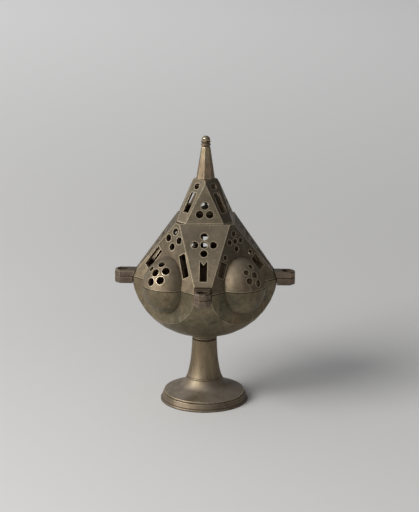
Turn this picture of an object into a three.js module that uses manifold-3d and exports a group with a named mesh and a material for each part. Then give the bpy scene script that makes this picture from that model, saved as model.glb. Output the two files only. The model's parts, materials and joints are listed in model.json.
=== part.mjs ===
// Gothic censer: a pierced lid in two tiers with a spire, over a lobed bowl on a trumpet foot.
// Millimetres, +Z up. The origin is the centre of the foot's underside, and the front lug is at -Y.

import * as THREE from 'three';
import { mergeVertices } from 'three/addons/utils/BufferGeometryUtils.js';
import Module from 'manifold-3d';

const wasm = await Module();
wasm.setup();

// Shared driving dimensions
const CLEARANCE = 0.3;
const OVERRUN = 2;
const CAST_WALL = 2.6;

// Foot: a hollow trumpet with a stepped rim and a stem
const foot = {
  height: 49.8,
  rimRadius: 34.2,
  rimEdge: 0.6,
  beadRadius: 33.5,
  beadHeight: 1.8,
  flankRadius: 32,
  flankHeight: 5.7,
  grooveRadius: 31.2,
  grooveWidth: 0.5,
  lipRadius: 31.7,
  coneRadius: 31.3,
  coneHeight: 7.3,
  flareRadius: 20,
  flareHeight: 10.9,
  stemRadius: 9.6,
  wall: 2.5,
  hollowTop: 25,
  hollowNeckRadius: 5.2,
};
// Pulls of the flare's curve: shares of the way from the flare's start to the stem's top
const flareShares = { lowRadius: 0.72, lowHeight: 0.075, highRadius: 0.95, highHeight: 0.48 };

// Collar between the stem and the bowl
const collar = { height: 1.6, radius: 9.6, bulge: 0.3 };

// Seam between bowl and lid: how far out its four sides to the lugs are, and how wide
const seam = { reach: 56.6, sideWidth: 9.5 };

// Bowl: a full-bellied ball flattened on its four diagonals, with a round socket below
// and a flat seat inside
const bowl = {
  height: 47.9,
  ballRise: 10.75,
  poleLift: 1.65,
  wall: CAST_WALL,
  socketRadius: 9.7,
  seatRadius: 9.4,
};
// Exponent of the ball's outline: 2 is an ellipse, more is fuller
const BALL_POWER = 2.19;

// Lobes: four bosses on the diagonals, half in the bowl and half in the lid
const lobe = {
  setback: 6.6,
  radius: 21.1,
  rise: 21.8,
  drop: 22.3,
  wall: 2.4,
};
// Exponents of the lobes' outline, above and below the seam
const LOBE_RISE_POWER = 1.53;
const LOBE_DROP_POWER = 2.25;

// Roof: the lid's lower tier, an octagon at the seam and another round its top plate
const roof = { height: 45.8, topReach: 22, topWidth: 38, wall: CAST_WALL, plate: CAST_WALL };

// Lantern: the lid's upper tier, set back from the plate's edge by ledges to the lugs and to
// the diagonals, which ends in a square with its corners to the lugs
const lantern = {
  height: 28,
  ledge: 0.8,
  diagonalLedge: 3.8,
  topCorner: 10.4,
  arris: 0.4,
  wall: 2.2,
  capHeight: 2.6,
  capCorner: 8.8,
  capThickness: 5,
};

// Spire and finial
const spire = { height: 24.3, baseRadius: 7.2, topRadius: 3.5, tenonRadius: 2.8, tenonLength: 4.2 };
const SPIRE_SIDES = 8;
const SPIRE_ANGLE = -8;
const SPIRE_STEP_ANGLE = 360 / SPIRE_SIDES;
const finial = {
  height: 8,
  neckRadius: 2.9,
  lowRingRadius: 3.9,
  lowRingHeight: 1.2,
  highRingRadius: 3.95,
  highRingHeight: 3.3,
  knobRadius: 3.4,
  knobLift: 4.1,
  tenonRadius: 1.6,
  tenonLength: 4,
  boreRadius: 0.8,
  boreLift: 1.3,
};
const FINIAL_BORE_ANGLE = 27;

// Chain eyes: an octagonal ring on a short arm, one leaf on the lid and one on the bowl
const lug = {
  lidThickness: 4.7,
  bowlThickness: 5.6,
  eyeStep: 6.7,
  width: 12.2,
  boreRadius: 4,
  rootDepth: 6.6,
  chamfer: 1,
};

// Rivet, washer and coal pan inside the bowl
const rivet = { shankRadius: 3, headRadius: 6, headHeight: 3, shankDepth: 12 };
const washer = { radius: 8.4, thickness: 1.2 };
const pan = { wall: 1.6, height: 9.2, lift: 1 };

// Piercings
const piercing = {
  crossHeight: 40.8,
  crossRadius: 2.9,
  crossPitch: 7,
  diamondHeight: 36,
  diamondRadius: 2.9,
  diamondPitch: 5.8,
  sideCrossHeight: 35,
  sideCrossRadius: 2.2,
  lobeWideRadius: 3.2,
  lobeMiddleRadius: 2.7,
  lobeSmallRadius: 2.2,
  slotWidth: 5.6,
  sideSlotWidth: 6.4,
  smallRadius: 1.9,
  smallGap: 2.2,
  trefoilHeight: 9.3,
  trefoilRadius: 3,
  trefoilPitch: 7.6,
  lanternSlotWidth: 5.8,
};
const lugSlot = { low: 11.3, high: 28.2, tongue: 3.8 };
const sideSlot = { lowSide: 21.9, low: 10.8, highSide: 12, high: 26.5 };
const shortSlotShare = 0.66;
const TREFOIL_COUNT = 3;
const lanternSlot = { low: 8.5, high: 25, hole: 30.4, holeRadius: 2.6 };

// Holes in a lobe: angles round the lobe and above the seam, seen from its centre
const sixHoles = [
  { swingAngle: 1, riseAngle: 16, radius: piercing.lobeWideRadius },
  { swingAngle: 25, riseAngle: 23, radius: piercing.lobeWideRadius },
  { swingAngle: 5, riseAngle: 38, radius: piercing.lobeWideRadius },
  { swingAngle: 36, riseAngle: 45, radius: piercing.lobeWideRadius },
  { swingAngle: 12, riseAngle: 60, radius: piercing.lobeMiddleRadius },
  { swingAngle: -20, riseAngle: 43, radius: piercing.lobeSmallRadius },
];
const fiveHoles = [
  { swingAngle: -5, riseAngle: 15, radius: piercing.lobeMiddleRadius },
  { swingAngle: 17, riseAngle: 23, radius: piercing.lobeMiddleRadius },
  { swingAngle: -3, riseAngle: 34, radius: piercing.lobeMiddleRadius },
  { swingAngle: 21, riseAngle: 43, radius: piercing.lobeSmallRadius },
  { swingAngle: -7, riseAngle: 55, radius: piercing.lobeSmallRadius },
];

// Facets round a full turn
const FINE = 40;
const LOBE_FACETS = 24;
const SMALL_FACETS = 20;
const DRILL_FACETS = 12;
const ARC_STEPS = 8;
const LOBE_STEPS = 5;
const SMALL_STEPS = 4;

// Levels that follow from the stack of pieces
const collarBase = foot.height + CLEARANCE;
const bowlBase = collarBase + collar.height + CLEARANCE;
const bowlRim = bowlBase + bowl.height;
const lidBase = bowlRim + CLEARANCE;
const roofTop = lidBase + roof.height;
const lanternBase = roofTop + CLEARANCE;
const lanternShoulder = lanternBase + lantern.height;
const lanternTop = lanternShoulder + lantern.capHeight;
const spireBase = lanternTop + CLEARANCE;
const finialBase = spireBase + spire.height + CLEARANCE;

// The ball's centre and half axes: it ends at its pole and passes through the seam's sides
const ballCentre = bowlRim + bowl.ballRise;
const ballDepth = ballCentre - bowlBase - bowl.poleLift;
const ballReach = seam.reach / (1 - (bowl.ballRise / ballDepth) ** BALL_POWER) ** (1 / BALL_POWER);
const ballBottom = ballHeight(bowl.socketRadius, 0);
const bowlFloor = ballHeight(bowl.seatRadius, bowl.wall);

// How far out the octagons' sides are
const seamDiagonal = diagonalOf(seam.reach, seam.sideWidth);
const roofDiagonal = diagonalOf(roof.topReach, roof.topWidth);
const lanternReach = roof.topReach - lantern.ledge;
const lanternDiagonal = roofDiagonal - lantern.diagonalLedge;
const lobeReach = seamDiagonal - lobe.setback;

// Centre and root of a chain eye
const eyeReach = seam.reach + lug.eyeStep;
const lugRoot = seam.reach - lug.rootDepth;

// Directions of the four lugs and the four lobes, in degrees from +X
const QUARTER_ANGLE = 90;
const LUG_ANGLES = Object.fromEntries(
  ['front', 'right', 'back', 'left'].map((name, i) => [name, (i - 1) * QUARTER_ANGLE]),
);
const LOBE_ANGLES = Object.fromEntries(
  ['front_left', 'front_right', 'back_right', 'back_left']
    .map((name, i) => [name, LUG_ANGLES.front + (i - 1 / 2) * QUARTER_ANGLE]),
);

// Finishes
const brass = () => new THREE.MeshStandardMaterial({ color: 0x6f6147, roughness: 0.48, metalness: 0.85 });
const iron = () => new THREE.MeshStandardMaterial({ color: 0x2d2a28, roughness: 0.75, metalness: 0.7 });

const radians = THREE.MathUtils.degToRad;

// Solids

function toSolid(geometry) {
  geometry.deleteAttribute('normal');
  geometry.deleteAttribute('uv');
  const merged = mergeVertices(geometry);
  return new wasm.Manifold(new wasm.Mesh({
    numProp: 3,
    vertProperties: Float32Array.from(merged.attributes.position.array),
    triVerts: Uint32Array.from(merged.index.array),
  }));
}

function toMesh(name, solid, material) {
  const result = solid.getMesh();
  const geometry = new THREE.BufferGeometry();
  geometry.setAttribute('position', new THREE.BufferAttribute(result.vertProperties, 3));
  geometry.setIndex(new THREE.BufferAttribute(result.triVerts, 1));
  const mesh = new THREE.Mesh(geometry, material);
  mesh.name = name;
  return mesh;
}

function join(solids) {
  return solids.reduce((sum, next) => sum.add(next));
}

function cut(solid, tools) {
  return tools.reduce((left, tool) => left.subtract(tool), solid);
}

// A turned solid about +Z from (radius, height) points, from the lowest point up
function turned(points, facets = FINE) {
  const profile = points.map(([radius, height]) => new THREE.Vector2(radius, height));
  return toSolid(new THREE.LatheGeometry(profile, facets).rotateX(Math.PI / 2));
}

function cylinder(radius, low, high, facets = FINE) {
  return turned([[0, low], [radius, low], [radius, high], [0, high]], facets);
}

// A closed solid through rings of equal count, each counter-clockwise from above, lowest first
function loft(rings) {
  const count = rings[0].length;
  const positions = rings.flat().flatMap((point) => point.toArray());
  const faces = [];
  for (let ring = 0; ring + 1 < rings.length; ring += 1) {
    for (let i = 0; i < count; i += 1) {
      const low = ring * count + i;
      const lowNext = ring * count + ((i + 1) % count);
      faces.push(low, lowNext, lowNext + count);
      faces.push(low, lowNext + count, low + count);
    }
  }
  const last = (rings.length - 1) * count;
  for (let i = 1; i + 1 < count; i += 1) {
    faces.push(0, i + 1, i);
    faces.push(last, last + i, last + i + 1);
  }
  const geometry = new THREE.BufferGeometry();
  geometry.setAttribute('position', new THREE.Float32BufferAttribute(positions, 3));
  geometry.setIndex(faces);
  return toSolid(geometry);
}

// How far out an octagon's diagonal sides are, from its other sides' reach and width
function diagonalOf(reach, width) {
  return (reach + width / 2) * Math.SQRT1_2;
}

// An octagon whose sides face the lugs at one apothem and the diagonals at another
function octagon(apothem, diagonal, height) {
  const half = diagonal * Math.SQRT2 - apothem;
  const corners = [
    [apothem, -half], [apothem, half], [half, apothem], [-half, apothem],
    [-apothem, half], [-apothem, -half], [-half, -apothem], [half, -apothem],
  ];
  return corners.map(([x, y]) => new THREE.Vector3(x, y, height));
}

function outward(turn) {
  return new THREE.Vector3(Math.cos(radians(turn)), Math.sin(radians(turn)), 0);
}

function turnedTo(solid, turn) {
  return solid.rotate([0, 0, turn]);
}

// The frame of a leaning panel: X to the right from outside, Y up the slope, Z out
function panelFrame(turn, low, high) {
  const out = outward(turn);
  const right = new THREE.Vector3(-out.y, out.x, 0);
  const base = out.clone().multiplyScalar(low.apothem).setZ(low.height);
  const top = out.clone().multiplyScalar(high.apothem).setZ(high.height);
  const up = top.clone().sub(base).normalize();
  const normal = new THREE.Vector3().crossVectors(right, up);
  return new THREE.Matrix4().makeBasis(right, up, normal).setPosition(base);
}

// A through cutter with its outline in the panel's X and Y
function punch(shape, depth, frame) {
  const geometry = new THREE.ExtrudeGeometry(shape, { depth, bevelEnabled: false, curveSegments: SMALL_STEPS });
  geometry.translate(0, 0, -depth / 2);
  geometry.applyMatrix4(frame);
  return toSolid(geometry);
}

function roundHole(x, y, radius) {
  const shape = new THREE.Shape();
  for (let i = 0; i < DRILL_FACETS; i += 1) {
    const angle = (i * 2 * Math.PI) / DRILL_FACETS;
    const px = x + radius * Math.cos(angle);
    const py = y + radius * Math.sin(angle);
    if (i === 0) shape.moveTo(px, py);
    else shape.lineTo(px, py);
  }
  shape.closePath();
  return shape;
}

function polygon(points) {
  return new THREE.Shape(points.map(([x, y]) => new THREE.Vector2(x, y)));
}

// A slot of one width along the line between two points
function slotShape(start, end, width) {
  const along = new THREE.Vector2(end[0] - start[0], end[1] - start[1]).normalize();
  const x = (-along.y * width) / 2;
  const y = (along.x * width) / 2;
  return polygon([
    [start[0] - x, start[1] - y], [end[0] - x, end[1] - y],
    [end[0] + x, end[1] + y], [start[0] + x, start[1] + y],
  ].reverse());
}

// Foot

function flareCurve(shrink) {
  const start = new THREE.Vector2(foot.flareRadius - shrink, foot.flareHeight);
  const end = new THREE.Vector2(foot.stemRadius - shrink, foot.height);
  const between = (radiusShare, heightShare) => new THREE.Vector2(
    THREE.MathUtils.lerp(start.x, end.x, radiusShare),
    THREE.MathUtils.lerp(start.y, end.y, heightShare),
  );
  return new THREE.CubicBezierCurve(
    start,
    between(flareShares.lowRadius, flareShares.lowHeight),
    between(flareShares.highRadius, flareShares.highHeight),
    end,
  );
}

function footOutline() {
  const grooveTop = foot.flankHeight + foot.grooveWidth;
  const flare = flareCurve(0).getPoints(ARC_STEPS).map((point) => [point.x, point.y]);
  return [
    [0, 0], [foot.rimRadius, 0], [foot.rimRadius, foot.rimEdge],
    [foot.beadRadius, foot.beadHeight], [foot.flankRadius, foot.flankHeight],
    [foot.grooveRadius, foot.flankHeight], [foot.grooveRadius, grooveTop],
    [foot.lipRadius, grooveTop], [foot.coneRadius, foot.coneHeight],
    ...flare, [0, foot.height],
  ];
}

function footHollow() {
  const under = foot.coneHeight - foot.wall;
  const flare = flareCurve(foot.wall).getPoints(ARC_STEPS)
    .map((point) => [point.x, point.y - foot.wall])
    .filter(([radius, height]) => radius > foot.hollowNeckRadius && height < foot.hollowTop);
  return [
    [0, -OVERRUN], [foot.coneRadius - foot.wall, -OVERRUN], [foot.coneRadius - foot.wall, under],
    ...flare, [foot.hollowNeckRadius, foot.hollowTop], [0, foot.hollowTop + foot.hollowNeckRadius],
  ];
}

function makeFoot() {
  const bore = cylinder(
    rivet.shankRadius + CLEARANCE,
    foot.height - rivet.shankDepth - CLEARANCE,
    foot.height + OVERRUN,
  );
  return cut(turned(footOutline()), [turned(footHollow()), bore]);
}

function makeCollar() {
  const inner = rivet.shankRadius + CLEARANCE;
  const top = collarBase + collar.height;
  const ring = turned([
    [0, collarBase], [collar.radius - collar.bulge, collarBase],
    [collar.radius + collar.bulge, collarBase + collar.height / 2],
    [collar.radius - collar.bulge, top], [0, top],
  ]);
  return cut(ring, [cylinder(inner, collarBase - OVERRUN, top + OVERRUN)]);
}

// Bowl

// The ball's outline between two heights, smaller all round by an inset
function ballArc(inset, low, high) {
  const depth = ballDepth - inset;
  const angleAt = (height) => Math.asin(((ballCentre - height) / depth) ** (BALL_POWER / 2));
  const points = [];
  for (let i = 0; i <= ARC_STEPS; i += 1) {
    const angle = THREE.MathUtils.lerp(angleAt(low), angleAt(high), i / ARC_STEPS);
    points.push([
      (ballReach - inset) * Math.cos(angle) ** (2 / BALL_POWER),
      ballCentre - depth * Math.sin(angle) ** (2 / BALL_POWER),
    ]);
  }
  return points;
}

// The height at which the ball, smaller all round by an inset, has a radius
function ballHeight(radius, inset) {
  const share = (radius / (ballReach - inset)) ** BALL_POWER;
  return ballCentre - (ballDepth - inset) * (1 - share) ** (1 / BALL_POWER);
}

// A square post with its sides to the diagonals
function diagonalPost(apothem, low, high) {
  const corner = apothem * Math.SQRT2;
  const ring = (height) => Object.values(LUG_ANGLES).map((turn) => (
    outward(turn).multiplyScalar(corner).setZ(height)
  ));
  return loft([ring(low), ring(high)]);
}

// One lobe's full form at its place on a diagonal, smaller all round by an inset
function lobeForm(turn, inset) {
  const radius = lobe.radius - inset;
  const points = [];
  const side = (span, power, share) => {
    const height = (span - inset) * share;
    return [radius * Math.sqrt(1 - share ** power), height];
  };
  for (let i = LOBE_STEPS; i > 0; i -= 1) {
    const share = Math.sin((i / LOBE_STEPS) * (Math.PI / 2));
    const [x, height] = side(lobe.drop, LOBE_DROP_POWER, share);
    points.push([i === LOBE_STEPS ? 0 : x, -height]);
  }
  for (let i = 0; i <= LOBE_STEPS; i += 1) {
    const share = Math.sin((i / LOBE_STEPS) * (Math.PI / 2));
    const [x, height] = side(lobe.rise, LOBE_RISE_POWER, share);
    points.push([i === LOBE_STEPS ? 0 : x, height]);
  }
  const place = outward(turn).multiplyScalar(lobeReach);
  return turned(points, LOBE_FACETS).translate([place.x, place.y, bowlRim + CLEARANCE / 2]);
}

function allLobes(inset) {
  return join(Object.values(LOBE_ANGLES).map((turn) => lobeForm(turn, inset)));
}

function slab(low, high) {
  return cylinder(eyeReach + lug.width, low, high);
}

// The bowl's outside, grown by a margin so that neighbours can be cut to it
function bowlBody(margin) {
  const ball = turned([[0, ballBottom], ...ballArc(-margin, ballBottom, bowlRim), [0, bowlRim]]);
  const post = diagonalPost(seamDiagonal + margin, bowlBase, lidBase);
  return ball.intersect(post).add(allLobes(-margin).intersect(slab(ballBottom, bowlRim)));
}

function bowlHollow() {
  const top = bowlRim + OVERRUN;
  const arc = ballArc(bowl.wall, bowlFloor, bowlRim);
  const rim = arc[arc.length - 1][0];
  const ball = turned([[0, bowlFloor], ...arc, [rim, top], [0, top]]);
  const post = diagonalPost(seamDiagonal - bowl.wall, bowlBase, top + OVERRUN);
  const lobes = allLobes(lobe.wall).intersect(slab(bowlFloor, top));
  return ball.intersect(post).add(lobes);
}

function makeBowl() {
  const socket = cylinder(bowl.socketRadius, bowlBase, ballBottom + bowl.wall);
  const bore = cylinder(rivet.shankRadius + CLEARANCE, bowlBase - OVERRUN, bowlRim);
  return cut(bowlBody(0).add(socket), [bowlHollow(), bore]);
}

// Roof

// A ring of the roof at a height, smaller all round by an inset square to the panels
function roofRing(inset, height) {
  const rise = height - lidBase;
  const slope = (seam.reach - roof.topReach) / roof.height;
  const diagonalSlope = (seamDiagonal - roofDiagonal) / roof.height;
  const reach = seam.reach - rise * slope - inset * Math.hypot(1, slope);
  const diagonal = seamDiagonal - rise * diagonalSlope - inset * Math.hypot(1, diagonalSlope);
  return octagon(reach, diagonal, height);
}

function roofBody(inset) {
  return loft([roofRing(inset, lidBase), roofRing(inset, roofTop)]);
}

function roofLobes(inset) {
  return allLobes(inset).intersect(slab(lidBase, roofTop));
}

// The roof's inside, and the throat through its plate into the lantern
function roofHollow() {
  const ceiling = roofTop - roof.plate;
  const body = loft([roofRing(roof.wall, lidBase - OVERRUN), roofRing(roof.wall, ceiling)]);
  const throatRing = (height) => (
    octagon(lanternReach - lantern.wall, lanternDiagonal - lantern.wall, height)
  );
  const throat = loft([throatRing(ceiling - OVERRUN), throatRing(roofTop + OVERRUN)]);
  const lobes = allLobes(lobe.wall).intersect(slab(lidBase - OVERRUN, roofTop));
  return body.add(throat).add(lobes);
}

function crossShapes(height, pitch, radius) {
  return [[0, 0], [pitch, 0], [-pitch, 0], [0, pitch], [0, -pitch]]
    .map(([x, y]) => roundHole(x, height + y, radius));
}

function diamondShapes(height, pitch, radius) {
  return [[pitch, 0], [-pitch, 0], [0, pitch], [0, -pitch]]
    .map(([x, y]) => roundHole(x, height + y, radius));
}

// The slot below a cross: the front one has a pointed tongue of metal at its top
function lugSlotShape(name) {
  const half = piercing.slotWidth / 2;
  const tongue = name === 'front' ? [[0, lugSlot.high - lugSlot.tongue]] : [];
  return polygon([
    [-half, lugSlot.low], [half, lugSlot.low], [half, lugSlot.high], ...tongue, [-half, lugSlot.high],
  ]);
}

// A slanting slot beside a diagonal panel's edge, whole or as a share of its length
function sideSlotPoints(hand, share) {
  const low = new THREE.Vector2(hand * sideSlot.lowSide, sideSlot.low);
  const high = new THREE.Vector2(hand * sideSlot.highSide, sideSlot.high);
  return [low, low.clone().lerp(high, share)];
}

function sideSlotShape(hand, share) {
  const [low, high] = sideSlotPoints(hand, share);
  return slotShape(low.toArray(), high.toArray(), piercing.sideSlotWidth);
}

// The small hole beyond the end of a short slot
function sideHoleShape(hand) {
  const [low, high] = sideSlotPoints(hand, shortSlotShare);
  const step = high.clone().sub(low).setLength(piercing.smallGap + piercing.smallRadius);
  return roundHole(high.x + step.x, high.y + step.y, piercing.smallRadius);
}

// The lobes with five holes sit below the panels with a full cross
function hasFullCross(name) {
  return name === 'front_right' || name === 'back_left';
}

function diagonalPanelShapes(name) {
  if (!hasFullCross(name)) {
    return [
      sideSlotShape(1, 1),
      sideSlotShape(-1, 1),
      ...diamondShapes(piercing.diamondHeight, piercing.diamondPitch, piercing.diamondRadius),
    ];
  }
  return [
    sideSlotShape(1, shortSlotShare),
    sideSlotShape(-1, shortSlotShare),
    sideHoleShape(1),
    sideHoleShape(-1),
    ...crossShapes(piercing.sideCrossHeight, piercing.diamondPitch, piercing.sideCrossRadius),
  ];
}

function roofPunches() {
  const depth = roof.wall * 4;
  const tools = [];
  for (const [name, angle] of Object.entries(LUG_ANGLES)) {
    const frame = panelFrame(
      angle,
      { apothem: seam.reach, height: lidBase },
      { apothem: roof.topReach, height: roofTop },
    );
    const shapes = crossShapes(piercing.crossHeight, piercing.crossPitch, piercing.crossRadius);
    shapes.push(lugSlotShape(name));
    tools.push(...shapes.map((shape) => punch(shape, depth, frame)));
  }
  for (const [name, angle] of Object.entries(LOBE_ANGLES)) {
    const frame = panelFrame(
      angle,
      { apothem: seamDiagonal, height: lidBase },
      { apothem: roofDiagonal, height: roofTop },
    );
    tools.push(...diagonalPanelShapes(name).map((shape) => punch(shape, depth, frame)));
  }
  return tools;
}

function lobeDrills() {
  const tools = [];
  for (const [name, angle] of Object.entries(LOBE_ANGLES)) {
    const hand = name === 'front_left' || name === 'back_right' ? 1 : -1;
    const centre = outward(angle).multiplyScalar(lobeReach).setZ(lidBase);
    for (const hole of hasFullCross(name) ? fiveHoles : sixHoles) {
      const out = outward(angle + hand * hole.swingAngle)
        .multiplyScalar(Math.cos(radians(hole.riseAngle)));
      out.z = Math.sin(radians(hole.riseAngle));
      const drill = new THREE.CylinderGeometry(hole.radius, hole.radius, lobe.radius, DRILL_FACETS);
      drill.translate(0, lobe.radius, 0);
      drill.applyQuaternion(new THREE.Quaternion().setFromUnitVectors(new THREE.Vector3(0, 1, 0), out));
      drill.translate(centre.x, centre.y, centre.z);
      tools.push(toSolid(drill));
    }
  }
  return tools;
}

// The panels are pierced first, so that a lobe closes what it covers of a slot
function makeRoof() {
  const pierced = cut(roofBody(0), roofPunches()).add(roofLobes(0));
  return cut(pierced, [roofHollow(), ...lobeDrills()]);
}

// Lantern

// How far out the sides of a square are, with its corners, blunt by the arris, to the lugs
function squareSide(corner) {
  return (corner + lantern.arris / 2) * Math.SQRT1_2;
}

// A ring of the lantern at a height, smaller all round by an inset
function lanternRing(inset, height) {
  const share = (height - lanternBase) / lantern.height;
  const corner = lantern.topCorner - inset * Math.SQRT2;
  return octagon(
    THREE.MathUtils.lerp(lanternReach - inset, corner, share),
    THREE.MathUtils.lerp(lanternDiagonal - inset, squareSide(corner), share),
    height,
  );
}

function lanternCap() {
  return loft([
    lanternRing(0, lanternShoulder),
    octagon(lantern.capCorner, squareSide(lantern.capCorner), lanternTop),
  ]);
}

function lanternPunches() {
  const depth = lantern.wall * 4;
  const tools = [];
  for (const turn of Object.values(LUG_ANGLES)) {
    const frame = panelFrame(
      turn,
      { apothem: lanternReach, height: lanternBase },
      { apothem: lantern.topCorner, height: lanternShoulder },
    );
    for (let i = 0; i < TREFOIL_COUNT; i += 1) {
      const angle = Math.PI / 2 + (i * 2 * Math.PI) / TREFOIL_COUNT;
      const reach = piercing.trefoilPitch / (2 * Math.sin(Math.PI / TREFOIL_COUNT));
      const shape = roundHole(
        reach * Math.cos(angle),
        piercing.trefoilHeight + reach * Math.sin(angle),
        piercing.trefoilRadius,
      );
      tools.push(punch(shape, depth, frame));
    }
  }
  for (const turn of Object.values(LOBE_ANGLES)) {
    const frame = panelFrame(
      turn,
      { apothem: lanternDiagonal, height: lanternBase },
      { apothem: squareSide(lantern.topCorner), height: lanternShoulder },
    );
    const shapes = [
      slotShape([0, lanternSlot.low], [0, lanternSlot.high], piercing.lanternSlotWidth),
      roundHole(0, lanternSlot.hole, lanternSlot.holeRadius),
    ];
    tools.push(...shapes.map((shape) => punch(shape, depth, frame)));
  }
  return tools;
}

function makeLantern() {
  const ceiling = lanternTop - lantern.capThickness;
  const body = loft([lanternRing(0, lanternBase), lanternRing(0, lanternShoulder)]).add(lanternCap());
  const hollow = loft([
    lanternRing(lantern.wall, lanternBase - OVERRUN),
    lanternRing(lantern.wall, ceiling),
  ]);
  const bore = cylinder(
    spire.tenonRadius + CLEARANCE,
    lanternTop - spire.tenonLength,
    lanternTop + OVERRUN,
  );
  return cut(body, [hollow, bore, ...lanternPunches()]);
}

// Spire and finial

function spireRing(radius, height) {
  const ring = [];
  for (let i = 0; i < SPIRE_SIDES; i += 1) {
    const angle = SPIRE_ANGLE + i * SPIRE_STEP_ANGLE;
    ring.push(outward(angle).multiplyScalar(radius).setZ(height));
  }
  return ring;
}

function makeSpire() {
  const top = spireBase + spire.height;
  const body = loft([spireRing(spire.baseRadius, spireBase), spireRing(spire.topRadius, top)]);
  const tenon = cylinder(
    spire.tenonRadius,
    lanternTop - spire.tenonLength + CLEARANCE,
    spireBase + CLEARANCE,
    DRILL_FACETS,
  );
  const socket = cylinder(
    finial.tenonRadius + CLEARANCE,
    top - finial.tenonLength,
    top + OVERRUN,
    DRILL_FACETS,
  );
  return cut(body.add(tenon), [socket]);
}

function makeFinial() {
  const lowRing = finialBase + finial.lowRingHeight;
  const highRing = finialBase + finial.highRingHeight;
  const knobBase = finialBase + finial.knobLift;
  const top = finialBase + finial.height;
  const knobCentre = top - finial.knobRadius;
  const knob = [];
  for (let i = 0; i <= SMALL_STEPS; i += 1) {
    const start = Math.asin((knobBase - knobCentre) / finial.knobRadius);
    const angle = THREE.MathUtils.lerp(start, Math.PI / 2, i / SMALL_STEPS);
    knob.push([
      i === SMALL_STEPS ? 0 : finial.knobRadius * Math.cos(angle),
      knobCentre + finial.knobRadius * Math.sin(angle),
    ]);
  }
  const body = turned([
    [0, finialBase], [finial.neckRadius, finialBase],
    [finial.lowRingRadius, lowRing], [finial.neckRadius, (lowRing + highRing) / 2],
    [finial.highRingRadius, highRing], [finial.neckRadius, (highRing + knobBase) / 2],
    ...knob,
  ], SMALL_FACETS);
  const tenon = cylinder(
    finial.tenonRadius,
    finialBase - finial.tenonLength + CLEARANCE,
    finialBase + CLEARANCE,
    DRILL_FACETS,
  );
  const bores = [-1, 1].map((hand) => {
    const drill = new THREE.CylinderGeometry(
      finial.boreRadius, finial.boreRadius, finial.knobRadius * 4, DRILL_FACETS,
    );
    return turnedTo(toSolid(drill), hand * FINIAL_BORE_ANGLE)
      .translate([0, 0, knobCentre - hand * finial.boreLift / 2]);
  });
  return cut(body.add(tenon), bores);
}

// Chain eyes

function lugOutline(shrink) {
  const half = lug.width / 2 - shrink;
  const flat = half * Math.tan(Math.PI / 8);
  const end = eyeReach + half;
  return polygon([
    [lugRoot, -half], [eyeReach + flat, -half], [end, -flat],
    [end, flat], [eyeReach + flat, half], [lugRoot, half],
  ]);
}

// A leaf with one edge thinned on the side away from the seam
function lugLeaf(low, high, thinBelow) {
  const ring = (shrink, height) => lugOutline(shrink).getPoints()
    .map((point) => new THREE.Vector3(point.x, point.y, height));
  const rings = thinBelow
    ? [ring(lug.chamfer, low), ring(0, low + lug.chamfer), ring(0, high)]
    : [ring(0, low), ring(0, high - lug.chamfer), ring(lug.chamfer, high)];
  const bore = cylinder(lug.boreRadius, low - OVERRUN, high + OVERRUN, SMALL_FACETS)
    .translate([eyeReach, 0, 0]);
  return loft(rings).subtract(bore);
}

function makeLidLug(turn) {
  const leaf = lugLeaf(lidBase, lidBase + lug.lidThickness, false);
  return cut(turnedTo(leaf, turn), [roofBody(-CLEARANCE), roofLobes(-CLEARANCE)]);
}

function makeBowlLug(turn) {
  const leaf = lugLeaf(bowlRim - lug.bowlThickness, bowlRim, true);
  return turnedTo(leaf, turn).subtract(bowlBody(CLEARANCE));
}

// Rivet, washer and pan

function makeWasher() {
  const low = bowlFloor + CLEARANCE;
  const ring = cylinder(washer.radius, low, low + washer.thickness);
  return cut(ring, [cylinder(rivet.shankRadius + CLEARANCE, low - OVERRUN, low + OVERRUN * 2)]);
}

function makeRivet() {
  const seat = bowlFloor + washer.thickness + CLEARANCE * 2;
  const head = [];
  for (let i = 0; i <= SMALL_STEPS; i += 1) {
    const angle = (i / SMALL_STEPS) * (Math.PI / 2);
    head.push([
      i === SMALL_STEPS ? 0 : rivet.headRadius * Math.cos(angle),
      seat + rivet.headHeight * Math.sin(angle),
    ]);
  }
  const shankEnd = foot.height - rivet.shankDepth;
  return turned([
    [0, shankEnd], [rivet.shankRadius, shankEnd], [rivet.shankRadius, seat], ...head,
  ], SMALL_FACETS);
}

function makePan() {
  const rivetTop = bowlFloor + washer.thickness + CLEARANCE * 2 + rivet.headHeight;
  const low = rivetTop + pan.lift;
  const high = low + pan.height;
  const seat = bowl.wall + CLEARANCE;
  const outside = turned([[0, low], ...ballArc(seat, low, high), [0, high]])
    .intersect(diagonalPost(seamDiagonal - seat, bowlBase, bowlRim));
  const inner = ballArc(seat + pan.wall, low + pan.wall, high);
  const rim = inner[inner.length - 1][0];
  const inside = turned([[0, low + pan.wall], ...inner, [rim, high + OVERRUN], [0, high + OVERRUN]]);
  return outside.subtract(inside);
}

// Assembly

const censer = new THREE.Group();

censer.add(toMesh('foot', makeFoot(), brass()));
censer.add(toMesh('stem_collar', makeCollar(), brass()));
censer.add(toMesh('bowl', makeBowl(), brass()));
censer.add(toMesh('foot_rivet', makeRivet(), brass()));
censer.add(toMesh('rivet_washer', makeWasher(), brass()));
censer.add(toMesh('coal_pan', makePan(), iron()));
for (const [name, turn] of Object.entries(LUG_ANGLES)) {
  censer.add(toMesh(`bowl_lug_${name}`, makeBowlLug(turn), brass()));
}

const lid = new THREE.Group();
lid.add(toMesh('roof', makeRoof(), brass()));
lid.add(toMesh('lantern', makeLantern(), brass()));
lid.add(toMesh('spire', makeSpire(), brass()));
lid.add(toMesh('finial', makeFinial(), brass()));
for (const [name, turn] of Object.entries(LUG_ANGLES)) {
  lid.add(toMesh(`lid_lug_${name}`, makeLidLug(turn), brass()));
}
censer.add(lid);

export default censer;
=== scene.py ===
"""Looks for a Gothic cast-brass censer: cast skins, worn edges and patina, on a pale floor."""

import json
import math

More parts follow.
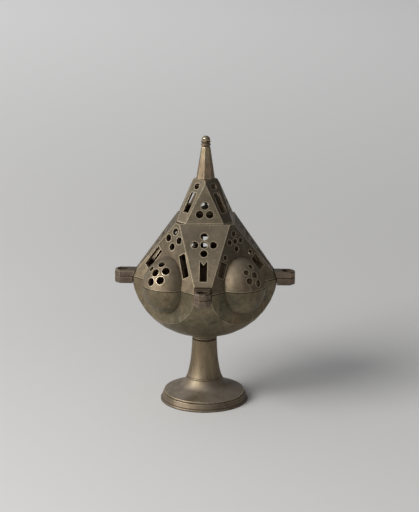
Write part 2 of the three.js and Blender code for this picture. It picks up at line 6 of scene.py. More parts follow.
import bpy
from mathutils import Matrix, Vector


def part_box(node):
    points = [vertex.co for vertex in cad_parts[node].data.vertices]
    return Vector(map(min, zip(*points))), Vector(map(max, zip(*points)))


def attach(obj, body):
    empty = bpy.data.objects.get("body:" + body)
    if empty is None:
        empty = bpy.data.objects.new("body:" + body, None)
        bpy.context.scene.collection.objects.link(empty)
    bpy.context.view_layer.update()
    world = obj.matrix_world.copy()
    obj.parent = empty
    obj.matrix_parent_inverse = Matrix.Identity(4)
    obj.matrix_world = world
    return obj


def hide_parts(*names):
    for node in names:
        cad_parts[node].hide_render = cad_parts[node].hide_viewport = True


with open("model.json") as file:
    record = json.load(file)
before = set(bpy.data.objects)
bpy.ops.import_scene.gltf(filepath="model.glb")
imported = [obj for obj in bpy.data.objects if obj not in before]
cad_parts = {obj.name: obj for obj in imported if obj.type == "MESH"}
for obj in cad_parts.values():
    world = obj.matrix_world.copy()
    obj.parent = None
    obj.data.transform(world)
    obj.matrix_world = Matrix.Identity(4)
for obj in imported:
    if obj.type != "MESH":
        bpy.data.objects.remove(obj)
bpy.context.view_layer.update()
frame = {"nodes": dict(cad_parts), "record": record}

MM = 0.001


# Heights on the object, in millimetres


def lowest(node):
    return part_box(node)[0].z / MM


def highest(node):
    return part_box(node)[1].z / MM


# The seam between bowl and lid, just over the bowl's rim, and the shoulder where the lantern
# stands on the roof
RIM_UNDER_SEAM = 0.1
SEAM = highest("bowl") + RIM_UNDER_SEAM
SHOULDER = highest("roof")

# The points on the axis that each piece's inner walls face, the foot's hollow from far below
BOWL_CENTRE = SEAM - 8
LID_CENTRE = SEAM + 12
LANTERN_CENTRE = SHOULDER + 9
SPIRE_CENTRE = SHOULDER + 4
BELOW_FLOOR = -60

SIDES = ("front", "right", "back", "left")


# Camera: place in metres, turns in degrees and lens in millimetres, as fitted to the photograph

CAMERA_PLACE = (0.0339, -1.2327, 0.4541)
CAMERA_HEADING = 1.418
CAMERA_PITCH = 15.351
CAMERA_ROLL = 0.427
CAMERA_LENS = 116.85
CAMERA_CLIP = (0.05, 50)
SENSOR_WIDTH = 36.0

# An untilted camera looks straight down, and one tilted by this much looks level
LEVEL_TILT = 90


def turn(angle, axis):
    """A 4 by 4 matrix that turns by an angle in degrees about an axis."""
    return Matrix.Rotation(math.radians(angle), 4, axis)


def place_camera():
    data = bpy.data.cameras.new("camera")
    data.lens = CAMERA_LENS
    data.sensor_width = SENSOR_WIDTH
    data.clip_start, data.clip_end = CAMERA_CLIP
    camera = bpy.data.objects.new("camera", data)
    bpy.context.scene.collection.objects.link(camera)
    camera.matrix_world = (
        Matrix.Translation(CAMERA_PLACE)
        @ turn(CAMERA_HEADING, "Z")
        @ turn(LEVEL_TILT - CAMERA_PITCH, "X")
        @ turn(CAMERA_ROLL, "Z")
    )
    bpy.context.scene.camera = camera


# Nodes


# Where a Mix node keeps the sockets of a colour mix
MIX_MASK, MIX_BELOW, MIX_ABOVE, MIX_RESULT = 0, 6, 7, 2


def feed(tree, socket, value):
    """Sets a socket to a value or a colour, or links another socket to it."""
    if isinstance(value, bpy.types.NodeSocket):
        tree.links.new(value, socket)
    else:
        socket.default_value = (*value, 1) if socket.type == "RGBA" else value


def feed_all(tree, node, values):
    """Feeds a node's inputs by name, where an underscore stands for a space."""
    for label, value in values.items():
        feed(tree, node.inputs[label.replace("_", " ")], value)


def add_node(tree, kind, **values):
    node = tree.nodes.new(f"ShaderNode{kind}")
    feed_all(tree, node, values)
    return node


def new_material(name, **values):
    """A material with its tree and its shader, whose values are set by name."""
    material = bpy.data.materials.new(name)
    material.use_nodes = True
    tree = material.node_tree
    shader = tree.nodes["Principled BSDF"]
    feed_all(tree, shader, values)
    return material, tree, shader


def maths(tree, operation, *terms):
    """The result of a maths node whose terms are numbers or sockets."""
    node = add_node(tree, "Math")
    node.operation = operation
    for socket, term in zip(node.inputs, terms):
        feed(tree, socket, term)
    return node.outputs[0]


def vector_maths(tree, operation, *terms):
    """The same for vectors: a length or a dot product gives a value, the rest a vector."""
    node = add_node(tree, "VectorMath")
    node.operation = operation
    for socket, term in zip(node.inputs, terms):
        feed(tree, socket, term)
    return node.outputs["Value" if operation in ("LENGTH", "DOT_PRODUCT") else "Vector"]


def combine(tree, operation, *masks):
    """Combines masks two by two."""
    result = masks[0]
    for mask in masks[1:]:
        result = maths(tree, operation, result, mask)
    return result


def level(tree, value, low, high, bottom=0, top=1):
    """Goes from bottom to top, and no further, as a value goes from low to high."""
    node = add_node(
        tree, "MapRange", Value=value, From_Min=low, From_Max=high, To_Min=bottom, To_Max=top
    )
    return node.outputs["Result"]


def noise(tree, vector, scale, detail, roughness=0.5):
    node = add_node(
        tree, "TexNoise", Vector=vector, Scale=scale, Detail=detail, Roughness=roughness
    )
    return node.outputs["Fac"]


def along(tree, vector, axis):
    """How far a vector goes along an axis."""
    return add_node(tree, "SeparateXYZ", Vector=vector).outputs[axis]


def object_place(tree):
    return add_node(tree, "TexCoord").outputs["Object"]


def geometry(tree, name):
    return add_node(tree, "NewGeometry").outputs[name]


def mapped(tree, vector, **values):
    return add_node(tree, "Mapping", Vector=vector, **values).outputs[0]


def openness(tree, reach, samples):
    """How open a place is, from 0 in a crevice to 1, as its own piece alone hides it."""
    node = add_node(tree, "AmbientOcclusion", Distance=reach)
    node.samples = samples
    node.only_local = True
    return node.outputs["AO"]


def bump(tree, height, strength, depth, normal=None, invert=False):
    node = add_node(tree, "Bump", Strength=strength, Distance=depth, Height=height)
    node.invert = invert
    if normal:
        feed(tree, node.inputs["Normal"], normal)
    return node.outputs["Normal"]


def mix_colour(tree, mask, below, above):
    node = add_node(tree, "Mix")
    node.data_type = "RGBA"
    feed(tree, node.inputs[MIX_MASK], mask)
    feed(tree, node.inputs[MIX_BELOW], below)
    feed(tree, node.inputs[MIX_ABOVE], above)
    return node.outputs[MIX_RESULT]


def layered(tree, base, *layers):
    """Lays colours over a base one after the other, each by its mask."""
    for mask, colour in layers:
        base = mix_colour(tree, mask, base, colour)
    return base


# Lights and room

# A softbox on the left, in front and above
KEY_PLACE = (-1.2, -0.8, 1.0)
KEY_TARGET = (0, 0, 0.09)
KEY_SIZE = (1.1, 1.0)
KEY_POWER = 24
KEY_COLOUR = (1, 0.985, 0.96)

# The room is bright on the left and dark on the right: its two colours, and how far to the right
# a direction points where the change starts and where it ends
ROOM_LEFT = (0.42, 0.42, 0.42)
ROOM_RIGHT = (0.1, 0.1, 0.105)
ROOM_SPAN = (-0.8, 0.6)


def add_softbox():
    data = bpy.data.lights.new("key_softbox", "AREA")
    data.shape = "RECTANGLE"
    data.size, data.size_y = KEY_SIZE
    data.energy = KEY_POWER
    data.color = KEY_COLOUR
    lamp = bpy.data.objects.new("key_softbox", data)
    bpy.context.scene.collection.objects.link(lamp)
    lamp.location = KEY_PLACE
    aim = Vector(KEY_TARGET) - Vector(KEY_PLACE)
    lamp.rotation_mode = "QUATERNION"
    lamp.rotation_quaternion = aim.to_track_quat("-Z", "Y")


def build_world():
    world = bpy.data.worlds.new("studio")
    bpy.context.scene.world = world
    world.use_nodes = True
    tree = world.node_tree
    tree.nodes.clear()
    across = along(tree, add_node(tree, "TexCoord").outputs["Generated"], "X")
    room = mix_colour(tree, level(tree, across, *ROOM_SPAN), ROOM_LEFT, ROOM_RIGHT)
    light = add_node(tree, "Background", Color=room)
    add_node(tree, "OutputWorld", Surface=light.outputs[0])


# Floor: a pale disc, in metres, whose far part glows so that it stays bright

FLOOR_RADIUS = 40
FLOOR_SIDES = 96
FLOOR_COLOUR = (0.85, 0.85, 0.845)
FLOOR_ROUGHNESS = 0.8
FLOOR_GLOSS = 0.1

# The glow's start and end, in metres from the censer, and its level by share of the way
GLOW_REACH = (0.05, 2.4)
GLOW_LEVELS = [(0, 0), (0.12, 0), (0.4, 0.165), (0.7, 0.27), (1, 0.31)]

# The share by which a metre to the left adds to the glow and a metre to the right takes from it,
# and how many metres that goes on for
SIDE_SHARE = 0.42
SIDE_REACH = 1

# The rays that see the glow: the camera's, and those by which metal shows the floor too
GLOW_RAYS = ("Is Camera Ray", "Is Glossy Ray", "Is Transmission Ray")


def glow_curve(tree, way):
    """The glow's level by share of the way, on a smooth curve."""
    node = add_node(tree, "ValToRGB", Fac=way)
    ramp = node.color_ramp
    ramp.interpolation = "B_SPLINE"
    first, *middle, last = GLOW_LEVELS
    for stop, (place, amount) in zip(ramp.elements, (first, last)):
        stop.position = place
        stop.color = (amount, amount, amount, 1)
    for place, amount in middle:
        ramp.elements.new(place).color = (amount, amount, amount, 1)
    return node.outputs["Color"]


def floor_material():
    """Matt paint that glows more and more with the way from the censer."""
    material, tree, shader = new_material(
        "pale_floor", Base_Color=FLOOR_COLOUR, Roughness=FLOOR_ROUGHNESS,
        Specular_IOR_Level=FLOOR_GLOSS,
    )
    place = object_place(tree)
    curve = glow_curve(tree, level(tree, vector_maths(tree, "LENGTH", place), *GLOW_REACH))
    most = SIDE_SHARE * SIDE_REACH
    side = level(tree, along(tree, place, "X"), -SIDE_REACH, SIDE_REACH, 1 + most, 1 - most)
    path = add_node(tree, "LightPath")
    seen = combine(tree, "MAXIMUM", *[path.outputs[ray] for ray in GLOW_RAYS])
    glow = add_node(tree, "Emission", Strength=combine(tree, "MULTIPLY", curve, side, seen))
    both = add_node(tree, "AddShader")
    feed(tree, both.inputs[0], shader.outputs[0])
    feed(tree, both.inputs[1], glow.outputs[0])
    feed(tree, tree.nodes["Material Output"].inputs["Surface"], both.outputs[0])
    return material


def build_floor():
    bpy.ops.object.select_all(action="DESELECT")
    bpy.ops.mesh.primitive_circle_add(
        vertices=FLOOR_SIDES, radius=FLOOR_RADIUS, fill_type="NGON", location=(0, 0, 0)
    )
    floor = bpy.context.active_object
    floor.name = "studio_floor"
    floor.data.materials.append(floor_material())


# Shader groups. A noise is given by its scale, detail and roughness, and a mask's range by where
# it starts and where it is full.


def new_group(name, inputs, outputs):
    """A shader group of plain values: the tree, what its inputs give and the results to feed."""
    group = bpy.data.node_groups.new(name, "ShaderNodeTree")
    for label, value in inputs.items():
        socket = group.interface.new_socket(
            name=label, in_out="INPUT", socket_type="NodeSocketFloat"
        )
        socket.default_value = value
    for label in outputs:
        group.interface.new_socket(name=label, in_out="OUTPUT", socket_type="NodeSocketFloat")
    given = group.nodes.new("NodeGroupInput").outputs
    result = group.nodes.new("NodeGroupOutput").inputs
    return group, given, result


# Edge wear: a face's cosine to its rounded edge, the noise that breaks the wear into stretches,
# and how open an edge has to be, so that inner corners stay dark
WEAR_WIDTH = 0.6 * MM
WEAR_BREAK_UP = 0.5
WEAR_SAMPLES = 6
WEAR_COSINE = (0.998, 0.972)
WEAR_NOISE = (75, 4, 0.65)
WEAR_STRETCHES = (0.36, 0.62)
OPEN_REACH = 1.5 * MM
OPEN_SAMPLES = 8
OPEN_ENOUGH = (0.82, 0.97)


def build_edge_wear():
    """A mask that is 1 along outer edges, in worn stretches with bare ones between."""
    group, given, result = new_group(
        "edge_wear", {"Width": WEAR_WIDTH, "Break Up": WEAR_BREAK_UP}, ["Mask"]
    )
    rounded = add_node(group, "Bevel", Radius=given["Width"])
    rounded.samples = WEAR_SAMPLES
    cosine = vector_maths(
        group, "DOT_PRODUCT", rounded.outputs["Normal"], geometry(group, "Normal")
    )
    edge = level(group, cosine, *WEAR_COSINE)
    stretches = level(group, noise(group, object_place(group), *WEAR_NOISE), *WEAR_STRETCHES)
    everywhere = maths(group, "SUBTRACT", 1, given["Break Up"])
    spread = maths(group, "MULTIPLY_ADD", stretches, given["Break Up"], everywhere)
    outer = level(group, openness(group, OPEN_REACH, OPEN_SAMPLES), *OPEN_ENOUGH)
    feed(group, result["Mask"], combine(group, "MULTIPLY", edge, spread, outer))
    return group


# Grime and painted shade: how far around a place cover counts, and how open it is where they
# start and are thick
GRIME_AND_SHADE_REACH = 5 * MM
GRIME_AND_SHADE_SAMPLES = 6
GRIME_AND_SHADE_OPENNESS = (0.85, 0.25)


def build_grime_and_shade():
    """A mask that is 1 in crevices and inside holes, for grime and painted shade there."""
    group, given, result = new_group("grime_and_shade", {"Reach": GRIME_AND_SHADE_REACH}, ["Mask"])
    hollow = openness(group, given["Reach"], GRIME_AND_SHADE_SAMPLES)
    feed(group, result["Mask"], level(group, hollow, *GRIME_AND_SHADE_OPENNESS))
    return group


# Dust and painted sheen: how far up a face looks, and the clouds in which they lie
DUST_AND_SHEEN_AMOUNT = 0.4
DUST_AND_SHEEN_SLOPE = (0.15, 0.8)
DUST_AND_SHEEN_NOISE = (70, 4, 0.6)
DUST_AND_SHEEN_CLOUDS = (0.25, 0.6)


def build_dust_and_sheen():
    """A mask that is 1 on faces that look up, where dull dust lies and a paler sheen from above is
    painted, in soft clouds.
    """
    group, given, result = new_group("dust_and_sheen", {"Amount": DUST_AND_SHEEN_AMOUNT}, ["Mask"])
    up = level(group, along(group, geometry(group, "Normal"), "Z"), *DUST_AND_SHEEN_SLOPE)
    clouds = level(group, noise(group, object_place(group), *DUST_AND_SHEEN_NOISE), *DUST_AND_SHEEN_CLOUDS)
    feed(group, result["Mask"], combine(group, "MULTIPLY", up, clouds, given["Amount"]))
    return group


# How large the product of a normal's X and Y is on a face that looks along a diagonal
DIAGONAL_PRODUCT = (0.12, 0.25)


def build_diagonal():
    """A mask that is 1 on faces that look along the diagonals, where the diagonal bands darken."""
    group, given, result = new_group("diagonal", {"Amount": 1.0}, ["Mask"])
    normal = geometry(group, "Normal")
    product = maths(group, "MULTIPLY", along(group, normal, "X"), along(group, normal, "Y"))
    facing = level(group, maths(group, "ABSOLUTE", product), *DIAGONAL_PRODUCT)
    feed(group, result["Mask"], maths(group, "MULTIPLY", facing, given["Amount"]))
    return group


# A wall is inside where it looks back to the centre: the cosines between its normal and the way
# out from there
INSIDE_COSINE = (0.12, -0.1)


def build_inside():
    """A mask that is 1 on walls that face a point on the axis, such as the sooty inside, whose
    colour is made paler with painted light.
    """
    group, given, result = new_group("inside", {"Centre Height": SEAM * MM}, ["Mask"])
    centre = add_node(group, "CombineXYZ", Z=given["Centre Height"]).outputs[0]
    away = vector_maths(group, "SUBTRACT", object_place(group), centre)
    outward = vector_maths(group, "NORMALIZE", away)
    cosine = vector_maths(group, "DOT_PRODUCT", outward, geometry(group, "True Normal"))
    feed(group, result["Mask"], level(group, cosine, *INSIDE_COSINE))
    return group


# A ring's usual place and width, and how sharp its edge is, as shares of that width
RING_HEIGHT = 18 * MM
RING_WIDTH = 0.4 * MM
RING_EDGE_SHARES = (1, 0.3)


def build_ring():
    """A mask that is 1 in a line or band turned round the upright axis."""
    group, given, result = new_group(
        "ring", {"Height": RING_HEIGHT, "Width": RING_WIDTH}, ["Mask"]
    )
    offset = maths(group, "SUBTRACT", along(group, object_place(group), "Z"), given["Height"])
    share = maths(group, "DIVIDE", maths(group, "ABSOLUTE", offset), given["Width"])
    feed(group, result["Mask"], level(group, share, *RING_EDGE_SHARES))
    return group


# Patina masks: each one's scale as a share of the group's, how far it is shifted, its noise's
# roughness, and its range
PATINA_SCALE = 40.0
PATINA_DETAIL = 5
PATINA_LAYERS = {
    "Clouds": (1, 0, 0.62, (0.36, 0.64)),
    "Stains": (0.7, 0.31, 0.6, (0.5, 0.68)),
    "Mottle": (6, 0.13, 0.7, (0.3, 0.7)),
    "Specks": (16, 0.57, 0.65, (0.6, 0.74)),
}


def build_patina():
    """Old metal's masks: wide clouds, stains, a fine mottle and dark specks.

    A Rise under 1 draws them out along the upright axis, into streaks.
    """
    group, given, result = new_group(
        "patina", {"Scale": PATINA_SCALE, "Rise": 1.0}, PATINA_LAYERS
    )
    draw = add_node(group, "CombineXYZ", X=1, Y=1, Z=given["Rise"]).outputs[0]
    drawn = vector_maths(group, "MULTIPLY", object_place(group), draw)
    for label, (share, shift, roughness, span) in PATINA_LAYERS.items():
        place = mapped(group, drawn, Location=(shift, shift, -shift))
        scale = maths(group, "MULTIPLY", given["Scale"], share)
        cloud = noise(group, place, scale, PATINA_DETAIL, roughness)
        feed(group, result[label], level(group, cloud, *span))
    return group


# Scratches: how the noise is stretched along each of the two ways, and how that way lies
SCRATCH_WAYS = [((1500, 90, 130), (0.5, 0.3, 0.6)), ((140, 1300, 110), (0.2, 0.7, 0.3))]
SCRATCH_AMOUNT = 0.5
SCRATCH_NOISE = (1, 2)
SCRATCH_LINES = (0.64, 0.76)


def scratch_lines(tree, stretch, lie, span):
    """Fine lines, from a noise drawn out one way."""
    place = mapped(tree, object_place(tree), Scale=stretch, Rotation=lie)
    return level(tree, noise(tree, place, *SCRATCH_NOISE), *span)


def build_scratches():
    """A mask of fine crossing scratches, in two directions."""
    group, given, result = new_group("scratches", {"Amount": SCRATCH_AMOUNT}, ["Mask"])
    ways = [scratch_lines(group, stretch, lie, SCRATCH_LINES) for stretch, lie in SCRATCH_WAYS]
    either = combine(group, "MAXIMUM", *ways)
    feed(group, result["Mask"], maths(group, "MULTIPLY", either, given["Amount"]))
    return group


# A casting's heights: noises for its waves and grain, the distances that a pit's wall spans, how
# file marks are stretched and lie, and the depth of each beside the waves' own
SKIN_GRAIN = 0.35
SKIN_PITS = 0.4
WAVE_NOISE = (55, 2)
GRAIN_NOISE = (900, 3, 0.6)
PIT_SCALE = 260
PIT_WALL = (0.0, 0.16)
FILE_STRETCH = (1400, 180, 160)
FILE_LIE = (0.4, 0.2, 0.6)
FILE_LINES = (0.62, 0.7)
FILE_DEPTH = 0.12


def build_cast_skin():
    """Heights of a hand-finished casting: soft waves, fine grain, small pits and file marks."""
    group, given, result = new_group(
        "cast_skin", {"Grain": SKIN_GRAIN, "Pits": SKIN_PITS}, ["Height"]
    )
    place = object_place(group)
    grain = noise(group, place, *GRAIN_NOISE)
    pits = add_node(group, "TexVoronoi", Vector=place, Scale=PIT_SCALE).outputs["Distance"]
    marks = scratch_lines(group, FILE_STRETCH, FILE_LIE, FILE_LINES)
    height = maths(group, "MULTIPLY_ADD", grain, given["Grain"], noise(group, place, *WAVE_NOISE))
    height = maths(group, "MULTIPLY_ADD", level(group, pits, *PIT_WALL), given["Pits"], height)
    height = maths(group, "MULTIPLY_ADD", marks, -FILE_DEPTH, height)
    feed(group, result["Height"], height)
    return group


# The joint round a lug, a dark seam with painted shade of the inside corner: half its width and
# height, the line's width and the sharpness of its edge, and how far from the axis the panels are
# that it is cut in
LUG_HALF_WIDTH = 6.1 * MM
LUG_HALF_HEIGHT = 5.2 * MM
LUG_LINE = 0.7 * MM
LUG_EDGE_SHARES = (1, 0.4)
LUG_PANEL = (50 * MM, 52 * MM)


def build_lug_joint_and_shade():
    """A mask that is 1 in the narrow seam where a lug grows out of its panel: a dark seam, and
    painted shade of the inside corner.
    """
    group, given, result = new_group(
        "lug_joint_and_shade",
        {"Half Width": LUG_HALF_WIDTH, "Half Height": LUG_HALF_HEIGHT, "Line": LUG_LINE},
        ["Mask"],
    )
    place = object_place(group)
    sizes = vector_maths(group, "ABSOLUTE", place)
    flat = [along(group, sizes, axis) for axis in "XY"]
    rise = maths(group, "SUBTRACT", along(group, place, "Z"), SEAM * MM)
    side = maths(group, "SUBTRACT", maths(group, "MINIMUM", *flat), given["Half Width"])
    top = maths(group, "SUBTRACT", maths(group, "ABSOLUTE", rise), given["Half Height"])
    distance = maths(group, "ABSOLUTE", maths(group, "MAXIMUM", side, top))
    line = level(group, maths(group, "DIVIDE", distance, given["Line"]), *LUG_EDGE_SHARES)
    near = level(group, maths(group, "MAXIMUM", *flat), *LUG_PANEL)
    feed(group, result["Mask"], maths(group, "MULTIPLY", line, near))
    return group


# Turning marks: how many noise waves go on a metre of height
LATHE_PITCH = 2600.0
LATHE_NOISE = (1, 2)


def build_lathe_lines():
    """Heights of fine turning marks round the upright axis."""
    group, given, result = new_group("lathe_lines", {"Pitch": LATHE_PITCH}, ["Height"])
    waves = maths(group, "MULTIPLY", along(group, object_place(group), "Z"), given["Pitch"])
    upright = add_node(group, "CombineXYZ", Z=waves).outputs[0]
    feed(group, result["Height"], noise(group, upright, *LATHE_NOISE))
    return group


GROUPS = {
    "edge_wear": build_edge_wear(),
    "grime_and_shade": build_grime_and_shade(),
    "dust_and_sheen": build_dust_and_sheen(),
    "diagonal": build_diagonal(),
    "inside": build_inside(),
    "ring": build_ring(),
    "patina": build_patina(),
    "scratches": build_scratches(),
    "lug_joint_and_shade": build_lug_joint_and_shade(),
    "cast_skin": build_cast_skin(),
    "lathe_lines": build_lathe_lines(),
}


def use_group(tree, name, **values):
    """The outputs of a group placed in a tree with its own values."""
    node = add_node(tree, "Group")
    node.node_tree = GROUPS[name]
    feed_all(tree, node, values)
    return node.outputs


def mask_of(tree, name, **values):
    """The mask of a group that gives only that."""
    return use_group(tree, name, **values)["Mask"]


def ring(tree, height, width):
    """A mask round the upright axis, from a height and width in millimetres."""
    return mask_of(tree, "ring", Height=height * MM, Width=width * MM)


# Finishes

# What sets a cast skin apart from a turned one: how many scratches, how deep the grain and pits
# are, how far the patina is drawn out, and the range of its mottle's brightness
CAST_SKIN = {
    "scratches": 0.18, "grain": 0.3, "pits": 0.25, "rise": 1.0, "mottle": (0.72, 1.3),
}
TURNED_SKIN = {
    "scratches": 0.1, "grain": 0.15, "pits": 0.1, "rise": 0.3, "mottle": (0.86, 1.14),
}

# How metallic the bare skin is, and the sooty inside
METAL_OUTSIDE = 0.92
METAL_INSIDE = 0.3

# What is added to a finish's roughness, or taken from it
ROUGHER_BETWEEN_CLOUDS = 0.08
SMOOTHER_IN_CLOUDS = 0.04
SMOOTHER_WHERE_WORN = 0.2
ROUGHER_UNDER_DUST = 0.25
ROUGHER_WHERE_DARK = 0.3

# Bumps: strength and depth
SKIN_BUMP = (0.3, 0.3 * MM)
LATHE_BUMP = (0.25, 0.1 * MM)
GROOVE_BUMP = (0.8, 0.2 * MM)


def brass_colour(tree, colours, skin, patina, stains, covers, inside):
    """Clouds, stains, darker bands, mottle and specks, then what covers them, and soot inside,
    made paler with painted light.
    """
    stained = layered(
        tree, colours["body"],
        (patina["Clouds"], colours["cloud"]),
        (patina["Stains"], colours["stain"]),
        # The darker bands, each in the band colour
        *[(stain, colours["band"]) for stain in stains],
    )
    brightness = level(tree, patina["Mottle"], 0, 1, *skin["mottle"])
    mottled = add_node(tree, "HueSaturation", Value=brightness, Color=stained).outputs[0]
    outer = layered(tree, mottled, (patina["Specks"], colours["speck"]), *covers)
    # The inside: soot made paler to paint the light that comes in by the holes, then char and
    # grime
    inner = layered(
        tree, colours["soot_and_painted_light"],
        (patina["Clouds"], colours["char"]),
        (patina["Stains"], colours["grime_and_shade"]),
    )
    return mix_colour(tree, inside, outer, inner)


def brass_roughness(tree, rough, clouds, wear, dust_and_sheen, dull):
    roughness = level(
        tree, clouds, 0, 1, rough + ROUGHER_BETWEEN_CLOUDS, rough - SMOOTHER_IN_CLOUDS
    )
    roughness = maths(tree, "MULTIPLY_ADD", wear, -SMOOTHER_WHERE_WORN, roughness)
    roughness = maths(tree, "MULTIPLY_ADD", dust_and_sheen, ROUGHER_UNDER_DUST, roughness)
    return maths(tree, "MULTIPLY_ADD", dull, ROUGHER_WHERE_DARK, roughness)


def brass_normal(tree, skin, grooves):
    surface = use_group(tree, "cast_skin", Grain=skin["grain"], Pits=skin["pits"])
    normal = bump(tree, surface["Height"], *SKIN_BUMP)
    if skin is TURNED_SKIN:
        normal = bump(tree, use_group(tree, "lathe_lines")["Height"], *LATHE_BUMP, normal)
    if grooves:
        depth = combine(tree, "MAXIMUM", *grooves)
        normal = bump(tree, depth, *GROOVE_BUMP, normal, invert=True)
    return normal


def brass(
    name, colours, centre, skin=CAST_SKIN, scale=38.0, rough=0.5, edge=0.9, worn=0.3,
    dust_and_sheen_amount=0.45, shaded_joint=False, grooves=(), shades=(), diagonal_bands=(),
):
    """Old brass: patina over the body colour, worn bright edges, grime and painted shade in
    crevices, and a sooty inside made paler with painted light.

    centre is the height of the point that inner walls face, scale is the patina's, and rough is
    the roughness before clouds, wear and dust change it. edge is the wear's width in millimetres,
    worn the share of it that is there all along an edge, and dust_and_sheen_amount how thick the
    dust and its painted sheen lie on faces that look up. shaded_joint says that lugs grow out of
    the piece, with a dark seam and painted shade round each. grooves are fine dark lines, each a
    height and width in millimetres. shades are wide darker bands and diagonal_bands are such
    bands on the diagonal faces alone, each with its strength too.
    """
    material, tree, shader = new_material(name)
    patina = use_group(tree, "patina", Scale=scale, Rise=skin["rise"])
    wear = mask_of(tree, "edge_wear", Width=edge * MM, Break_Up=1 - worn)
    scratches = mask_of(tree, "scratches", Amount=skin["scratches"])
    dust_and_sheen = mask_of(tree, "dust_and_sheen", Amount=dust_and_sheen_amount)
    inside = mask_of(tree, "inside", Centre_Height=centre * MM)
    lines = [ring(tree, height, width) for height, width in grooves]
    # The lug seams: dark seams with painted shade of their inside corners
    if shaded_joint:
        lines.append(mask_of(tree, "lug_joint_and_shade"))
    # Dark: grime and painted shade in crevices and holes, with the grooves and lug seams
    dark = combine(tree, "MAXIMUM", mask_of(tree, "grime_and_shade"), *lines)
    bare = maths(tree, "SUBTRACT", 1, dark)
    shine = maths(tree, "MULTIPLY", maths(tree, "MAXIMUM", wear, scratches), bare)
    # The darker bands, round the whole piece or on the diagonal faces alone
    stains = [
        maths(tree, "MULTIPLY", ring(tree, height, width), strength)
        for height, width, strength in shades
    ]
    for height, width, strength in diagonal_bands:
        diagonals = mask_of(tree, "diagonal", Amount=strength)
        stains.append(maths(tree, "MULTIPLY", ring(tree, height, width), diagonals))
    # Over the patina: dust with painted sheen on faces that look up, grime and painted shade in
    # crevices and holes, and worn bright edges
    covers = [(dust_and_sheen, colours["dust_and_sheen"]), (dark, colours["grime_and_shade"]), (shine, colours["worn"])]
    dull = maths(tree, "MAXIMUM", dark, inside)
    feed_all(tree, shader, {
        "Base Color": brass_colour(tree, colours, skin, patina, stains, covers, inside),
        "Metallic": level(tree, inside, 0, 1, METAL_OUTSIDE, METAL_INSIDE),
        "Roughness": brass_roughness(tree, rough, patina["Clouds"], wear, dust_and_sheen, dull),
        "Normal": brass_normal(tree, skin, lines),
    })
    return material


# The coal pan's iron
IRON_METAL = 0.5
IRON_ROUGHNESS = 0.8
IRON_SCALE = 60.0
IRON_GRAIN = 0.8
IRON_BUMP = (0.5, 0.4 * MM)
IRON_BLACK = (0.05, 0.045, 0.041)
IRON_ASH = (0.12, 0.11, 0.1)


def sooty_iron(name):
    """Black iron with clouds of ash."""
    material, tree, shader = new_material(name, Metallic=IRON_METAL, Roughness=IRON_ROUGHNESS)
    clouds = use_group(tree, "patina", Scale=IRON_SCALE)["Clouds"]
    surface = use_group(tree, "cast_skin", Grain=IRON_GRAIN)
    feed_all(tree, shader, {
        "Base Color": mix_colour(tree, clouds, IRON_BLACK, IRON_ASH),
        "Normal": bump(tree, surface["Height"], *IRON_BUMP),
    })
    return material


# Brass by its colours: bare body, clouds, stains and specks, grime and painted shade in crevices,
# worn edges, soot with painted light and char inside, dust and painted sheen on top, darker bands
OLIVE = {
    "body": (0.17, 0.139, 0.094), "cloud": (0.28, 0.223, 0.147), "stain": (0.18, 0.128, 0.087),
    "speck": (0.08, 0.06, 0.04), "grime_and_shade": (0.085, 0.062, 0.038), "worn": (0.86, 0.71, 0.5),
    "soot_and_painted_light": (0.23, 0.162, 0.1), "char": (0.13, 0.092, 0.058), "dust_and_sheen": (0.36, 0.31, 0.238),
    "band": (0.12, 0.1, 0.068),
}
# The bowl's soot is paler still, for painted light that comes in by the lid's holes
VERDIGRIS = {
    **OLIVE,
    "body": (0.121, 0.109, 0.072), "cloud": (0.237, 0.19, 0.121), "stain": (0.18, 0.133, 0.078),
    "soot_and_painted_light": (0.36, 0.26, 0.165), "char": (0.16, 0.115, 0.075),
}
RUSSET = {
    **OLIVE,
    "body": (0.114, 0.085, 0.066), "cloud": (0.19, 0.144, 0.108), "worn": (0.66, 0.54, 0.41),
}
# The foot's dust is paler and greyer, for painted sheen on its upward faces as well as dust
GOLDEN = {
    **OLIVE,
    "body": (0.19, 0.147, 0.092), "cloud": (0.323, 0.255, 0.16), "dust_and_sheen": (0.41, 0.358, 0.305),
    "band": (0.12, 0.08, 0.055),
}
BRIGHT = {
    **OLIVE,
    "body": (0.257, 0.204, 0.131), "cloud": (0.38, 0.304, 0.194), "stain": (0.25, 0.18, 0.12),
}

# Grooves: height and width in millimetres
LID_SEAM = (lowest("roof"), 0.35)
BOWL_SEAM = (highest("bowl"), 0.35)
LUG_SEAM = (SEAM + 0.15, 0.5)
RIM_GROOVES = [(0.1, 0.9), (1.9, 0.35), (6.1, 0.5)]
STEM_GROOVES = [(18.3, 0.22), (19.4, 0.18)]
STEM_JOINT = (highest("foot") - 0.2, 0.5)
COLLAR_JOINT = (lowest("stem_collar"), 0.3)

# Darker bands: height and width in millimetres, and strength
ROOF_SHADE = (SHOULDER - 8, 24, 0.9)
ROOF_DIAGONAL_BAND = (SHOULDER - 4, 20, 0.3)
LANTERN_SHADE = (SHOULDER + 10, 26, 0.6)
LANTERN_DIAGONAL_BAND = (SHOULDER + 14, 36, 0.8)
RIM_SHADE = (3.5, 4, 0.5)

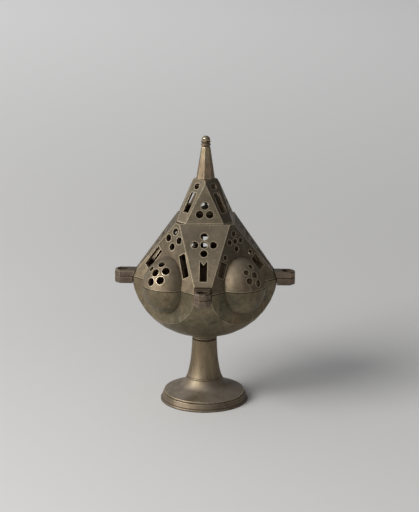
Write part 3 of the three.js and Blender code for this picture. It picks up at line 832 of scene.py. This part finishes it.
MATERIALS = {
    "lid": brass(
        "lid_skin", OLIVE, centre=LID_CENTRE, rough=0.55, worn=0.55, shaded_joint=True,
        grooves=[LID_SEAM], shades=[ROOF_SHADE], diagonal_bands=[ROOF_DIAGONAL_BAND],
    ),
    "lantern": brass(
        "lantern_skin", OLIVE, centre=LANTERN_CENTRE, worn=0.4, shades=[LANTERN_SHADE],
        diagonal_bands=[LANTERN_DIAGONAL_BAND],
    ),
    "bowl": brass(
        "bowl_skin", VERDIGRIS, centre=BOWL_CENTRE, edge=0.35, worn=0.05, shaded_joint=True,
        grooves=[BOWL_SEAM],
    ),
    "lug": brass(
        "lug_skin", RUSSET, centre=SEAM, rough=0.42, edge=0.5, worn=0.1, grooves=[LUG_SEAM],
    ),
    "spire": brass("spire_skin", BRIGHT, centre=SPIRE_CENTRE),
    "foot": brass(
        "foot_skin", GOLDEN, centre=BELOW_FLOOR, skin=TURNED_SKIN, scale=30.0, rough=0.48,
        edge=0.7, worn=0.05, dust_and_sheen_amount=0.8, shades=[RIM_SHADE],
        grooves=[*RIM_GROOVES, *STEM_GROOVES, STEM_JOINT],
    ),
    "turned": brass(
        "turned_skin", GOLDEN, centre=BELOW_FLOOR, skin=TURNED_SKIN, rough=0.42,
        grooves=[COLLAR_JOINT],
    ),
    "iron": sooty_iron("sooty_iron"),
}
FINISHES = {
    "foot": "foot", "bowl": "bowl", "coal_pan": "iron", "roof": "lid", "lantern": "lantern",
    "spire": "spire",
}


def finish_of(node):
    """A node's material: the lugs have one of their own, and the small turned pieces another."""
    return MATERIALS[FINISHES.get(node, "lug" if "lug" in node else "turned")]


# Finished copies of the castings

# How close points are that merge, in millimetres, and how flat a join is that goes, in degrees
MERGE_DISTANCE = 0.01
FLAT_ANGLE = 1

# An arris is a corner sharper than this, in degrees, and shading is smooth up to a little more
ARRIS_ANGLE = 20
SMOOTH_ANGLE = 22
ARRIS_SEGMENTS = 2
LARGE_FACE_WEIGHT = 60

# How far each piece's arrises are rounded, in millimetres
ARRISES = {
    "foot": 0.3, "stem_collar": 0.25, "bowl": 0.35, "roof": 0.45, "lantern": 0.35,
    "spire": 0.25, "finial": 0.15,
    **{f"{leaf}_lug_{side}": 0.7 for side in SIDES for leaf in ("bowl", "lid")},
}


def body_of_node(node):
    for body, members in frame["record"]["behaviour"]["bodies"].items():
        if node in members:
            return body
    raise KeyError(node)


def select_only(obj):
    bpy.ops.object.select_all(action="DESELECT")
    obj.select_set(True)
    bpy.context.view_layer.objects.active = obj


def apply_modifier(obj, modifier):
    select_only(obj)
    bpy.ops.object.modifier_apply(modifier=modifier.name)


def merge_mesh(obj):
    """Joins a CAD mesh's loose triangles into flat faces."""
    select_only(obj)
    bpy.ops.object.mode_set(mode="EDIT")
    bpy.ops.mesh.select_all(action="SELECT")
    bpy.ops.mesh.remove_doubles(threshold=MERGE_DISTANCE * MM)
    bpy.ops.mesh.dissolve_limited(angle_limit=math.radians(FLAT_ANGLE))
    bpy.ops.object.mode_set(mode="OBJECT")


def round_arrises(obj, width):
    rounding = obj.modifiers.new("rounding", "BEVEL")
    rounding.width = width
    rounding.segments = ARRIS_SEGMENTS
    rounding.limit_method = "ANGLE"
    rounding.angle_limit = math.radians(ARRIS_ANGLE)
    apply_modifier(obj, rounding)
    select_only(obj)
    bpy.ops.object.shade_smooth_by_angle(angle=math.radians(SMOOTH_ANGLE))
    facing = obj.modifiers.new("facing", "WEIGHTED_NORMAL")
    facing.keep_sharp = True
    facing.weight = LARGE_FACE_WEIGHT
    apply_modifier(obj, facing)


def set_finish(obj, node):
    obj.data.materials.clear()
    obj.data.materials.append(finish_of(node))


def finished_copy(node):
    """A merged copy of a casting with rounded arrises, which stands for its node."""
    copy = bpy.data.objects.new(f"{node}_finished", frame["nodes"][node].data.copy())
    bpy.context.scene.collection.objects.link(copy)
    merge_mesh(copy)
    round_arrises(copy, ARRISES[node] * MM)
    set_finish(copy, node)
    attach(copy, body_of_node(node))
    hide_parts(node)


for name, solid in frame["nodes"].items():
    if name in ARRISES:
        finished_copy(name)
    else:
        set_finish(solid, name)

place_camera()
add_softbox()
build_world()
build_floor()
bpy.context.scene.view_settings.view_transform = "Standard"
